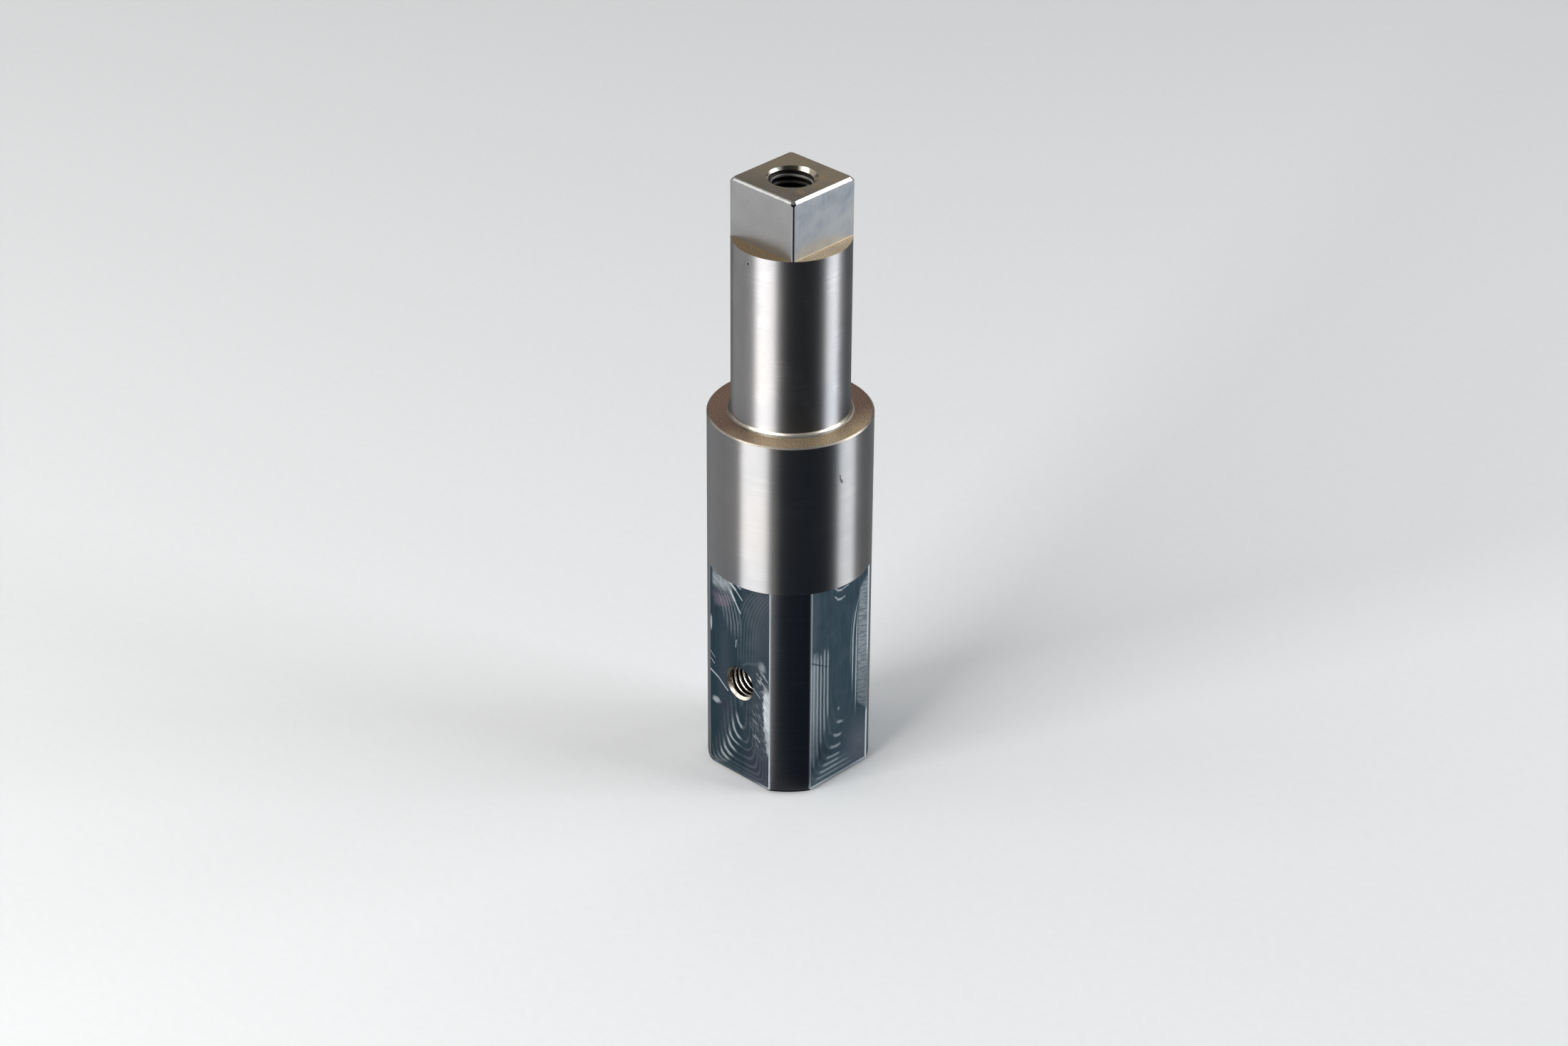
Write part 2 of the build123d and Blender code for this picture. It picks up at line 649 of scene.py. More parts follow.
def length_of(x, y):
    """The length of a step that goes x one way and y the other."""
    return (x * x + y * y).maths("SQRT")


def strokes(across, up, scratches):
    """A mask of scratches. Each one starts at a point and runs on through points that also give a width."""
    marks = []
    for scratch in scratches:
        for (start_x, start_y, *_), (end_x, end_y, width) in zip(scratch, scratch[1:]):
            run, rise = end_x - start_x, end_y - start_y
            out, above = across - start_x, up - start_y
            share = (out * run + above * rise) / (run**2 + rise**2)
            held = share.maths("MAXIMUM", 0).maths("MINIMUM", 1)
            marks.append(ramp(length_of(out - held * run, above - held * rise), width, width / 4))
    return either(*marks)


def spot(across, up, centre, size, soft=0.35):
    """A mask of one oval spot, with its half width and half height as its size."""
    out, above = (across - centre[0]) / size[0], (up - centre[1]) / size[1]
    return ramp(length_of(out, above), 1 + soft, 1 - soft)


print("drawing helpers ready")

# %% [markdown]
# ## Turned steel
#
# A turning tool leaves a spiral groove so fine that it reads as rings. The
# rings scatter light up and down but hardly sideways, and that is why a lamp
# shows on a turned shaft as one long upright streak. The shader does this with
# anisotropy. Its tangent runs round the axis, and a quarter turn of rotation
# sends the streak along the shaft.
#
# On top of that come faint rings that start and stop, fine speckle, and slow
# changes of tone from handling. The journal has a tiny pit under the head, and
# the body has a short bruise below the shoulder. The lands of the foot are
# painted darker than the body, and darker still towards the bottom, which is
# painted shade.

# %% Make the turned finish

pit_turn, bruise_turn = radians(-91.4), radians(-9.4)
pit_height, pit_radius = 122.7, 0.27
bruise_strokes = [[(-0.25, 76.9), (-0.1, 75.6, 0.3)], [(0.0, 75.8), (0.3, 75.3, 0.42)]]

shader, place = new_finish("turned_steel")
shader.inputs["Anisotropic"].default_value = 1.0
shader.inputs["Anisotropic Rotation"].default_value = 0.25
tangent = place.tree.nodes.new("ShaderNodeTangent")
tangent.direction_type = "RADIAL"
tangent.axis = "Z"
place.tree.links.new(tangent.outputs[0], shader.inputs["Tangent"])

up = parts_of(place)[2]
on_journal = ramp(up, shoulder_mm, shoulder_mm + 0.1)
on_foot = ramp(up, foot_mm, foot_mm - 0.1)
rings = noise(place, (0.04, 0.04, 5.0), 3)
broken = ramp(noise(place, (0.16, 0.16, 0.12)), 0.5, 0.68)
speckle = noise(place, (5.0, 5.0, 3.5), 1)
slow = noise(place, (0.07, 0.07, 0.05))
tone = ramp(slow, 0.35, 0.65)

aside, ahead = seen_from(place, pit_turn)
pit = spot(aside, up, (0, pit_height), (pit_radius, pit_radius), 0.26) * ramp(ahead, 0, 5)
aside, ahead = seen_from(place, bruise_turn)
bruise = strokes(aside, up, bruise_strokes) * ramp(ahead, 0, 5) * ramp(noise(place, 2.5), 0.3, 0.55)

body = mixed(tone, (0.138, 0.140, 0.145), (0.154, 0.150, 0.148))
# Painted shade: the foot's lands are darker than the body, and darkest towards the bottom
land = mixed(on_foot, body, (0.10, 0.104, 0.112))
land_with_painted_shade = mixed(ramp(up, 9, 1.5) * 0.6, land, (0.03, 0.032, 0.038))
journal = mixed(tone, (0.205, 0.207, 0.215), (0.235, 0.228, 0.226))
steel = mixed(on_journal, land_with_painted_shade, journal)
ring_share = 0.05 + broken * (0.07 + on_journal * 0.28)
ringed = mixed(ramp(rings, 0.3, 0.7) * ring_share, steel, (0.36, 0.36, 0.365))
flecked = mixed(ramp(speckle, 0.6, 0.76) * 0.5, ringed, (0.12, 0.12, 0.13))
marked = mixed(either(pit, bruise * 0.85), flecked, (0.016, 0.010, 0.009))
turned_roughness = 0.375 + on_journal * 0.145 + rings * 0.03 + slow * 0.03
end_finish(shader, marked, turned_roughness, rings * 0.0002 + speckle * 0.0006 - pit * 0.05)

# %% [markdown]
# The fillet and the shoulder's chamfer were cut by the corner of the tool, so
# they are creamy and have no streaks. Their fronts carry a painted highlight,
# and their left sides painted shade, which starts further round on the
# chamfer than on the fillet.

# %% Make the finish of the turned edges

shader, place = new_finish("turned_edge")
grain = noise(place, 3.0)
x, y, _ = parts_of(place)
to_right, _ = seen_from(place, front_turn)
on_rim = ramp(length_of(x, y), body_radius / MM - 1, body_radius / MM - 0.5)
# Painted shade on the left side, as seen from the front
painted_shade_left = ramp(to_right, -9.5, -12) * on_rim + ramp(to_right, -7.6, -9.2) * (1 - on_rim)
creamy = mixed(ramp(grain, 0.3, 0.7), (0.29, 0.26, 0.215), (0.46, 0.425, 0.36))
# A painted highlight across the front
creamy = mixed(between(to_right, -6.0, 9.5, 1.5) * 0.6, creamy, (0.80, 0.75, 0.66))
creamy = mixed(painted_shade_left * 0.75, creamy, (0.10, 0.09, 0.075))
end_finish(shader, creamy, 0.30 + grain * 0.10, grain * 0.006)

# %% [markdown]
# ## Faced steel
#
# The shoulder and the ledges under the head were cut square to the axis with
# the side of a tool. The torn, grainy surface sparkles, and a thin film of oil
# has turned it golden brown. A fine noise drives both the colour and the bump,
# so that each bright grain is also one that is tilted towards the light. A
# painted highlight makes the front of the shoulder and the right-hand side of
# the ledges paler and more golden.

# %% Make the faced finish

shader, place = new_finish("faced_steel")
grain = noise(place, 5.2, 4)
bright_grain = ramp(grain, 0.40, 0.64)
patches = noise(place, 0.25)
to_right, to_front = seen_from(place, front_turn)
on_ledge = ramp(parts_of(place)[2], shoulder_mm + 5, shoulder_mm + 6)
reddish = mixed(bright_grain, (0.090, 0.052, 0.040), (0.320, 0.220, 0.165))
brown = mixed(bright_grain, (0.110, 0.070, 0.032), (0.320, 0.235, 0.130))
golden = mixed(bright_grain, (0.26, 0.19, 0.112), (0.82, 0.66, 0.455))
# Painted highlight on the front of the shoulder
painted_front_highlight = ramp(to_front + to_right * 0.3 + (patches - 0.5) * 6, 2.0, 17.0) * (1 - on_ledge)
# Painted highlight on the right-hand side of the ledges
jaw_rubbing_and_ledge_highlight = (0.10 + ramp(to_right, -3, 4) * 0.56) * on_ledge
faced = mixed(painted_front_highlight + jaw_rubbing_and_ledge_highlight, mixed(on_ledge, reddish, brown), golden)
end_finish(shader, faced, 0.46 + patches * 0.15, grain * 0.03)

# %% [markdown]
# The head's end face is smoother, and grey rather than golden. It warms towards
# the back, and has a little violet and rusty staining.

# %% Make the finish of the top face

shader, place = new_finish("faced_top")
grain = noise(place, 4.0)
stain = noise(place, 0.35, 3)
x, y, _ = parts_of(place)
warm = mixed(ramp(y - x * 0.3, -10, 3), (0.100, 0.090, 0.073), (0.205, 0.172, 0.120))
violet = mixed(ramp(stain, 0.5, 0.36) * 0.4, warm, (0.17, 0.135, 0.125))
rusty = mixed(ramp(stain, 0.58, 0.72) * 0.5, violet, (0.30, 0.20, 0.11))
grained = mixed(ramp(grain, 0.35, 0.65) * 0.25, rusty, (0.33, 0.28, 0.21))
end_finish(shader, grained, 0.36 + stain * 0.12, grain * 0.006)

# %% [markdown]
# ## The head's flats
#
# The head was milled and then rubbed on abrasive, so its flats are pale and
# almost matt. One pair is a plain satin with the faintest clouding. The other
# pair is bluer, and keeps a fine upright grain from the rubbing, with a few
# darker smears across it and a painted highlight, a bright line, along its foot.

# %% Make the finishes of the head's flats

shader, place = new_finish("satin_flat")
above_ledge = parts_of(place)[2] - head_mm
cloud = noise(place, 0.2)
grain = noise(place, (3.0, 3.0, 1.5))
pale = mixed(ramp(cloud, 0.3, 0.7), (0.203, 0.203, 0.203), (0.219, 0.220, 0.221))
grained = mixed(ramp(grain, 0.3, 0.7) * 0.2, pale, (0.28, 0.28, 0.275))
end_finish(shader, grained, 0.26 + ramp(above_ledge, 0.5, 5.0) * 0.05 + cloud * 0.04, grain * 0.001)


def joined(x, y):
    """A vector from two wires, with a Z of 0."""
    node = x.tree.nodes.new("ShaderNodeCombineXYZ")
    x.into(node.inputs[0])
    y.into(node.inputs[1])
    return Wire(x.tree, node.outputs[0])


shader, place = new_finish("brushed_flat")
_, y, up = parts_of(place)
grain = noise(place, (3.5, 3.5, 0.35), 3)
smears = noise(joined(y * 0.22, (up - y * 0.35) * 0.35), 1, 5)
pale = mixed(ramp(smears, 0.36, 0.62), (0.220, 0.243, 0.275), (0.290, 0.305, 0.325))
grained = mixed(ramp(grain, 0.3, 0.7) * 0.45, pale, (0.33, 0.345, 0.36))
grained = mixed(ramp(up - y * 0.3, 132.5, 127.5) * 0.5, grained, (0.36, 0.36, 0.355))
# A painted highlight: a bright line along the flat's foot, where it meets the ledge
grained = mixed(ramp(up - head_mm, 0.2, 0.08) * 0.7, grained, (0.75, 0.68, 0.58))
end_finish(shader, grained, 0.28 + grain * 0.08, grain * 0.002)

# %% [markdown]
# ## The foot's flats: a cutter's path written down
#
# The foot's flats are smooth, and painted dark, as a painted reflection of dark
# surroundings. The end mill's path shows on them as pale lines. It went round
# and round inside the edges, so low down the lines are nested U shapes, and
# higher up they open out like a fountain.
#
# A picture of those lines would be the easy way. Here they are a field: a
# number for each point that says how far in it lies, counted in passes of the
# cutter. Wherever the number is whole, there is a line. Sideways the count
# grows evenly. Upwards each pass is a little further from the last, and so the
# count grows with a square root. A U shape is the smaller of the two counts,
# and a smooth minimum rounds its corners as the cutter did.
#
# `across` runs from the left edge of a flat to its right edge, seen from
# outside, and `up` runs from the bottom. Both are in millimetres, so the marks
# stay the size that they are on the part.

# %% Measure across a flat and draw the cutter's lines on it

land_turn = atan2(sqrt(body_radius**2 - foot_half**2), foot_half)
flat_width = 2 * body_radius * sin(land_turn) / MM
milled_bright = (0.60, 0.645, 0.675)


def new_flat(name):
    """Starts a flat's finish: its shader, a place on it, how far across and up that is, and its noises."""
    shader, place = new_finish(name)
    x, y, up = parts_of(place)
    facing_x, facing_y, _ = facing_of(place)
    across = y * facing_x - x * facing_y + flat_width / 2
    return shader, place, across, up, noise(place, 0.35), noise(place, 4.0), noise(place, 0.5, 1) - 0.5


def root_count(up, start, growth, first):
    """A count of passes that grows upwards with a square root."""
    return ((up - start) * growth).maths("MAXIMUM", 0).maths("SQRT") + first


def pass_lines(passes, spacing=1.0):
    """A mask of soft lines wherever a count of passes is whole. Spacing is the gap from line to line."""
    return ramp(passes.maths("PINGPONG", 0.5) * spacing, 0.40, 0.08)


def swept(up, start, end, reach, power):
    """A sideways lean that is 0 below start and grows to its full reach at end."""
    return ((up - start) / (end - start)).maths("MAXIMUM", 0).maths("POWER", power) * reach


def hairs(across, up, slope, fineness=3.0):
    """Fine scratches that all fall the same way: noise that is long one way and thin the other."""
    turn = atan2(slope, 1)
    along = (across * cos(turn) - up * sin(turn)) * 0.4
    return noise(joined(along, (across * sin(turn) + up * cos(turn)) * fineness), 1, 3)


def faint_streaks(across, up):
    """Upright streaks, as a cutter leaves when it runs up and down a flat."""
    return ramp(noise(joined(across * 2.2, up * 0.12), 1, 3), 0.42, 0.72)


def end_flat(shader, marks, painted_dark_ground, cloud, height):
    """Ends a flat's finish: bright, rougher marks on a ground that is painted dark, as a painted reflection.
    """
    end_finish(shader, mixed(marks, painted_dark_ground, milled_bright), 0.3 + marks * 0.2 + cloud * 0.05, height)


print("flat width in mm:", round(flat_width, 2))

# %% [markdown]
# The flat with the cross hole has the most to show. Below the hole the passes
# are nested U shapes, brightest where they turn at the lower left. `past_turn`
# is the difference between the two counts, so it is 0 in the middle of a turn.
# The gaps are the distances in mm from one line to the next.

# %% Swirled flat: the nested U shapes

shader, place, across, up, cloud, grain, wavy = new_flat("swirled_flat")
side_gap, first_count = 0.97, -0.97
from_left = (across - 0.7) / side_gap
from_right = (16.8 - across) / 0.85
from_bottom = root_count(up, 1.26, 5.26, first_count)
past_turn = from_left - from_bottom
passes = from_left.maths("SMOOTH_MIN", from_bottom, 6.0).maths("SMOOTH_MIN", from_right, 3.0)
passes = passes + ramp(from_bottom, 4.9, 5.8) * 0.35 + wavy * 0.25
gap_below = ((from_bottom - first_count) / 3.3).maths("MAXIMUM", 0.6)
spacing = side_gap + ramp(past_turn, -2, 3) * (gap_below - side_gap)
turning = ramp((past_turn - 1.1).maths("ABSOLUTE"), 2.8, 0.9) * ramp(across, 10.3, 9.2)
turning = turning * ramp(up, 16.8, 14.8) * (0.35 + ramp(across + up, 6.2, 8.2) * 0.65)
right_arms = ramp(across, 9.5, 11.5) * ramp(across, 16.0, 13.5)
low_light = (0.055 + right_arms * 0.02) * ramp(up, 22, 19) * ramp(past_turn, -4.5, -2) + turning * 0.42
low_marks = pass_lines(passes, spacing) * low_light
print("passes below the hole drawn")

# %% [markdown]
# Above the hole the passes lean to the left and arch over to the right. A
# frosted patch with slanting hatching lies in the top left corner, and bright
# scratches fan out below it.

# %% Swirled flat: the fountain and the frosted patch

fan_scratches = [
    [(5.7, 48.1), (7.6, 46.8, 0.5), (9.6, 45.0, 0.22)],
    [(6.2, 45.9), (7.4, 44.0, 0.5), (9.1, 41.6, 0.28)],
    [(7.8, 48.1), (9.2, 47.5, 0.20)],
]
arch_gap = 0.86
on_left = 8.4 - across - swept(up, 36, 44.7, 2.2, 2.5)
on_right = (across - 8.45 - swept(up, 33, 48.6, 4.8, 3)) / arch_gap
left_light = ramp(up + across * 1.86, 45, 48.5) * ramp(across, 2.0, 3.2) * ramp(up, 33, 38)
left_light = left_light * ramp(on_left, -1.5, -0.8) * ramp(up, 46, 45) * 0.15
right_light = ramp(on_right, -1.2, -0.4) * ramp(on_right, 9.5, 4.5) * between(up, 29.5, 49, 1.5) * 0.055
left_marks = pass_lines(on_left + wavy * 0.3) * left_light
right_marks = pass_lines(on_right + wavy * 0.3, arch_gap) * right_light

patch = ramp(up - 44.9 - (grain - 0.5) * 3, -0.4, 1.0) * ramp(across, 0.4, 1.4)
patch = patch * ramp(across + (up - 47) * 0.25, 6.9, 5.6)
hatching = hairs(across, up, 1.2, 2.6)
frosting = patch * (0.12 + ramp(hatching, 0.35, 0.65) * 0.22 + ramp(grain, 0.35, 0.65) * 0.18)
fan = strokes(across, up, fan_scratches) * 0.55
path = either(low_marks, left_marks, right_marks, frosting, fan)
print("passes above the hole drawn, and", len(fan_scratches), "scratches")

# %% [markdown]
# A vice jaw has rubbed the right edge. The rubbing, the scratches and the
# spots are accidents, so they are only on this flat: the flat opposite has the
# cutter's path alone.

# %% Swirled flat: the accidents

jaw_scratches = [
    [(0.0, 24.0), (2.6, 22.75, 0.28), (5.4, 20.6, 0.24)],
    [(12.3, 25.0), (15.0, 22.9, 0.14)],
    [(15.0, 27.4), (17.0, 25.9, 0.20)],
    [(15.2, 29.4), (17.2, 27.8, 0.16)],
    [(13.9, 28.7), (15.3, 27.6, 0.10)],
    [(13.6, 12.9), (15.0, 11.7, 0.14)],
    [(0.2, 28.5), (1.5, 27.3, 0.10)],
    [(0.3, 26.7), (1.4, 25.7, 0.12)],
    [(7.9, 34.4), (7.75, 32.6, 0.14)],
]
trail_stroke = [(9.9, 28.9), (11.2, 30.0, 0.4), (15.0, 31.2, 0.5)]

ragged = across + (noise(place, (0.8, 0.8, 1.5), 3) - 0.5) * 1.6
hair_noise = hairs(across, up, 1.2)
jaw_rubbing_and_ledge_highlight = ramp(ragged - (15.9 + swept(25 - up, 5, 16, 1.4, 2)), -0.25, 0.45) * between(up, 9.0, 25.4, 1.6)
jaw_rubbing_and_ledge_highlight = jaw_rubbing_and_ledge_highlight * (0.36 + ramp(grain, 0.3, 0.6) * 0.18 + ramp(hair_noise, 0.35, 0.65) * 0.32)
jaw_rubbing_and_ledge_highlight = jaw_rubbing_and_ledge_highlight * (0.7 + ramp(up, 13, 18) * 0.3)
near_rub = spot(across, up, (15.4, 15.0), (3.0, 7.5), 0.4) * 0.32
near_jaw = spot(across, up, (16.2, 27.0), (2.4, 2.8), 0.4) * 0.5
hair_marks = ramp(hair_noise, 0.54, 0.66) * either(near_rub, near_jaw)

uneven = across + (noise(place, 1.2) - 0.5) * 1.2
bruises = either(
    spot(uneven, up, (2.0, 16.8), (1.15, 0.75)) * 0.43,
    spot(uneven, up, (15.5, 30.7), (0.9, 1.1), 0.8) * 0.33,
    spot(across, up, (0.45, 35.7), (0.25, 1.8)) * 0.45,
)
specks = ramp(noise(place, 2.4, 1), 0.72, 0.80) * between(up, 15, 30, 4) * 0.3
trail = strokes(across, up, [trail_stroke]) * 0.07
scratched = strokes(across, up, jaw_scratches) * 0.55
on_hole_side = ramp(parts_of(place)[1], 1, -1)
accidents = either(jaw_rubbing_and_ledge_highlight, hair_marks, bruises, specks, trail, scratched) * on_hole_side
print("accidents drawn, with", len(jaw_scratches), "scratches")

# %% [markdown]
# The ground is a dark slate, painted dark as a painted reflection, greyer to
# the right, with a lilac bloom under the frosted patch and purple ones lower
# down. Two edges carry painted highlights along them.

# %% Swirled flat: the ground colour

# Painted highlights along the right edge and the bottom edge
right_edge_highlight = ramp(across, 17.58, 17.74) * (0.62 + ramp(up, 11, 7) * 0.3 + wavy * 0.5)
bottom_edge_highlight = between(up, 0.6, 1.2, 0.15) * (0.10 + ramp(across, 12.5, 16.5) * 0.30)
marks = either(path, accidents, right_edge_highlight, bottom_edge_highlight)

greyer = ramp(across + (cloud - 0.5) * 8, 9.0, 15.0) * (1 - between(up, 28, 34, 3) * 0.5)
bloom = between(up, 40.8, 44.8, 1.0) * between(across, 1.0, 6.2, 0.8) * ramp(cloud, 0.35, 0.65)
purple = either(ramp(up, 10, 6) * ramp(across, 9, 13) * 0.8, spot(across, up, (4.6, 16.2), (2.4, 1.1), 0.5))
# Painted reflection: the dark ground stands in for the dark that the flat mirrors
painted_dark_ground = mixed(greyer, (0.013, 0.034, 0.048), (0.042, 0.056, 0.073))
painted_dark_ground = mixed(faint_streaks(across, up) * 0.30, painted_dark_ground, (0.060, 0.072, 0.100))
painted_dark_ground = mixed(spot(across, up, (4.4, 26), (1.8, 16), 0.9) * 0.5, painted_dark_ground, (0.052, 0.066, 0.092))
painted_dark_ground = mixed(bloom, painted_dark_ground, (0.10, 0.088, 0.122))
painted_dark_ground = mixed(purple, painted_dark_ground, (0.034, 0.040, 0.066))
end_flat(shader, marks, painted_dark_ground, cloud, (path + accidents) * 0.006 + grain * 0.0008)

# %% [markdown]
# The flat beside it was cut the same way, but its marks show in other places.
# The left arms are bright from the bottom up to a ragged level, and each turn
# ends in a short bright crescent. The lowest passes are evenly spaced, so the
# count from the bottom is a straight line there, and joins the root above.

# %% Stepped flat: the left arms and the crescents

shader, place, across, up, cloud, grain, wavy = new_flat("stepped_flat")
side_gap, low_gap, first_count = 1.05, 1.3, 0.64
from_left = across / side_gap + 1.86
from_bottom = root_count(up, 1.89, 4.55, first_count).maths("MINIMUM", (up - 2.2) / low_gap + 2)
passes = from_left.maths("SMOOTH_MIN", from_bottom, 5.0) + wavy * 0.2
past_turn = from_left - from_bottom
gap_below = ((from_bottom - first_count) / 3.1).maths("MAXIMUM", 1.2)
spacing = side_gap + ramp(past_turn, -1, 2) * (gap_below - side_gap)
ragged_top = ramp(up + (noise(place, (1.0, 1.0, 0.3)) - 0.5) * 6, 35.0, 32.0)

arms = ramp(past_turn, -1.2, -2.2) * ramp(across, 6.2, 5.4) * ragged_top
arms = arms * (0.20 + ramp(up, 8, 20) * 0.20 + ramp(across, 4.5, 1.5) * 0.12)
crescents = ramp(past_turn, 1.2, 2.4) * ramp(across - up * 0.12, 9.1, 7.9) * ramp(up, 15.5, 14) * 0.38
long_lines = ramp(past_turn, 1.7, 2.7) * ramp(across + up, 17.5, 12) * ramp(up, 5.4, 4.2) * 0.30
faint_turns = ramp(across, 9, 7) * ramp(up, 22, 15) * 0.05
low_light = either(arms, crescents, long_lines, faint_turns) * ramp(up, 1.3, 2.0)
low_marks = pass_lines(passes, spacing) * low_light
last_turn = spot(across, up, (8.9, 17.6), (0.3, 0.4), 0.6) * 0.3
edge_frost = ramp(across, 3.2, 1.0) * ragged_top * ramp(up, 6, 10) * (0.16 + ramp(grain, 0.3, 0.7) * 0.2)
print("arms and crescents drawn")

# %% [markdown]
# Down its right side runs a frosted stripe with a curved double edge and fine
# ripples, where the cutter came back over the steel. High up are two worn
# crescents. One dark scratch crosses the left arms, on the +X side only.

# %% Stepped flat: the frosted stripe and the scratches

crescent_strokes = [
    [(6.9, 48.6), (8.2, 47.4, 0.26), (9.3, 47.1, 0.40), (11.4, 47.5, 0.22)],
    [(7.4, 46.1), (8.3, 45.1, 0.24), (9.3, 44.9, 0.40), (10.4, 45.1, 0.22)],
]
dark_stroke = [(0.5, 32.6), (3.3, 30.9, 0.28), (5.4, 29.7, 0.16)]

waist = swept(up, 31, 41.7, 1.3, 2.5)
edge_light = 0.52 + wavy * 0.3
main_edge = spot(across - waist, up, (13.1, 32.0), (0.21, 10.6), 0.35) * edge_light
second_edge = spot(across - waist * 0.5, up, (14.2, 27.5), (0.21, 11.5), 0.35) * edge_light
faint_edge = spot(across - waist, up, (12.4, 34.0), (0.15, 8.0), 0.3) * 0.10
ripples = ramp(hairs(across, up, 0.2, 1.9), 0.40, 0.58) * 0.17
hatching = ramp(hairs(across, up, 0.5, 3.4), 0.38, 0.62) * 0.11
frost = (0.10 + ripples + hatching + ramp(grain, 0.3, 0.7) * 0.09) * (0.62 + ramp(up, 18, 29) * 0.38)
stripe_top = ramp(up - across * 0.94 - (grain - 0.5) * 3, 31.8, 30.0)
stripe_end = ramp(up + across + (grain - 0.5) * 2, 31.0, 32.2)
stripe = ramp(across - waist * 0.15, 14.3, 15.0) * stripe_top * stripe_end * frost
corner_haze = ramp(across, 12, 16) * ramp(up, 10, 6) * ramp(hairs(across, up, -0.1, 2.0), 0.4, 0.7) * 0.06
worn_crescents = strokes(across, up, crescent_strokes) * (0.34 + grain * 0.24)
on_near_side = ramp(parts_of(place)[0], -1, 1)
darkened = strokes(across, up, [dark_stroke]) * on_near_side * 0.85
print("stripe drawn, with", len(crescent_strokes), "crescents and a scratch")

# %% [markdown]
# Three edges carry painted highlights in places. The ground, painted dark as a
# painted reflection, is lighter near the bottom, and lilac at the lower right
# and the upper left.

# %% Stepped flat: the edges and the ground colour

# Painted highlights along the left, right and bottom edges
left_edge_highlight = ramp(across, 0.58, 0.42) * (0.38 + between(up, 8, 34, 3) * 0.2)
right_edge_highlight = ramp(across, 17.38, 17.54) * (0.2 + ramp(up, 14.5, 12.5) * 0.6 + ramp(up, 24, 31) * 0.55)
bottom_light = 0.40 + ramp(across, 9, 2) * 0.2 + ramp(across, 12, 17) * 0.2
bottom_edge_highlight = between(up, 0.7, 1.25, 0.12) * bottom_light
path = either(low_marks, last_turn, edge_frost, main_edge, second_edge, faint_edge, stripe)
marks = either(path, corner_haze, worn_crescents, left_edge_highlight, right_edge_highlight, bottom_edge_highlight) * (1 - darkened)

lighter = either(ramp(up, 9, 3), ramp(up + across, 13, 8)) * 0.9
low_lilac = ramp(up, 15, 7) * ramp(across, 9, 15)
high_lilac = between(up, 36, 49, 3) * ramp(across, 3.5, 1.0) * 0.5
# Painted reflection: the dark ground stands in for the dark that the flat mirrors
painted_dark_ground = mixed(ramp(cloud, 0.3, 0.7), (0.024, 0.051, 0.070), (0.033, 0.059, 0.081))
painted_dark_ground = mixed(lighter, painted_dark_ground, (0.056, 0.090, 0.116))
painted_dark_ground = mixed(faint_streaks(across, up) * 0.35, painted_dark_ground, (0.066, 0.100, 0.124))
painted_dark_ground = mixed(either(low_lilac, high_lilac) * 0.9, painted_dark_ground, (0.085, 0.102, 0.134))
end_flat(shader, marks, painted_dark_ground, cloud, marks * 0.006 + grain * 0.0008)

# %% [markdown]
# ## Broken edges
#
# Filed edges are the brightest metal on the part, because they are the newest.
# The bevels that face along Y were filed by hand and are uneven, so noise
# breaks up their shine, and a worn line runs along them. The head's front
# corner is painted nearly black, which is painted shade, and the upright edges
# are darker. The bevel round the foot's bottom is painted dark, which is
# painted shade, and shows no shine at all.

# %% Make the edges

shader, place = new_finish("broken_edge")
x, y, up = parts_of(place)
_, facing_y, facing_up = facing_of(place)
upright = ramp(facing_up.maths("ABSOLUTE"), 0.1, 0.05)
by_hand = ramp(facing_y.maths("ABSOLUTE"), 0.6, 0.7) * (1 - upright)
nicks = noise(place, (1.5, 1.5, 2.0), 3)
off_worn_line = (top_mm - up + (nicks - 0.5) * 0.25 - 0.33).maths("ABSOLUTE")
bright = mixed(ramp(nicks, 0.3, 0.7), (0.60, 0.60, 0.59), (0.72, 0.72, 0.71))
hand_filed = mixed(ramp(off_worn_line, 0.26, 0.04), (0.13, 0.13, 0.125), (0.36, 0.36, 0.355))
filed = mixed(by_hand, bright, hand_filed)
# Painted shade: the edges at the front corner are nearly black
filed = mixed(ramp(x - y, 16.9, 17.3), filed, (0.03, 0.028, 0.026))
filed = mixed(upright, filed, (0.19, 0.20, 0.21))
end_finish(shader, filed, 0.3 + nicks * 0.1, nicks * by_hand * 0.03)

shader, place = new_finish("foot_bevel")
shader.inputs["Specular Tint"].default_value = (0, 0, 0, 1)
grain = noise(place, 2.0)
# Painted shade: the bevel round the foot's bottom is painted dark
dark = mixed(ramp(grain, 0.3, 0.7), (0.010, 0.016, 0.022), (0.022, 0.028, 0.034))
end_finish(shader, dark, 0.4 + grain * 0.1, grain * 0.002)

# %% [markdown]
# ## Countersinks and threads
#
# The countersinks are bright and a little yellow. The end hole's countersink
# has painted highlights at its left and right, and brown painted shade between
# them; the side hole's has painted shadow over its upper part. The threads'
# crests are bright, and paler towards the end hole's mouth, which is painted
# light; their grooves, which lie further out than the drilled wall, are
# painted dark, as painted shade.

# %% Make the countersinks and the threads

end_drill = mounts["end_tapped_hole"]["dims"]["r_mm"]
side_drill = mounts["side_tapped_hole"]["dims"]["r_mm"]
side_height = side_centre.z / MM

shader, place = new_finish("sunk_steel")
streaks = noise(place, 1.2, 3)
up = parts_of(place)[2]
to_right, _ = seen_from(place, front_turn)
at_end = ramp(up, head_mm - 1, head_mm)
# Painted highlights at the left and right of the end hole's countersink
painted_highlights = either(between(to_right, -5.0, -2.0, 0.5), between(to_right, 1.3, 3.3, 0.4))
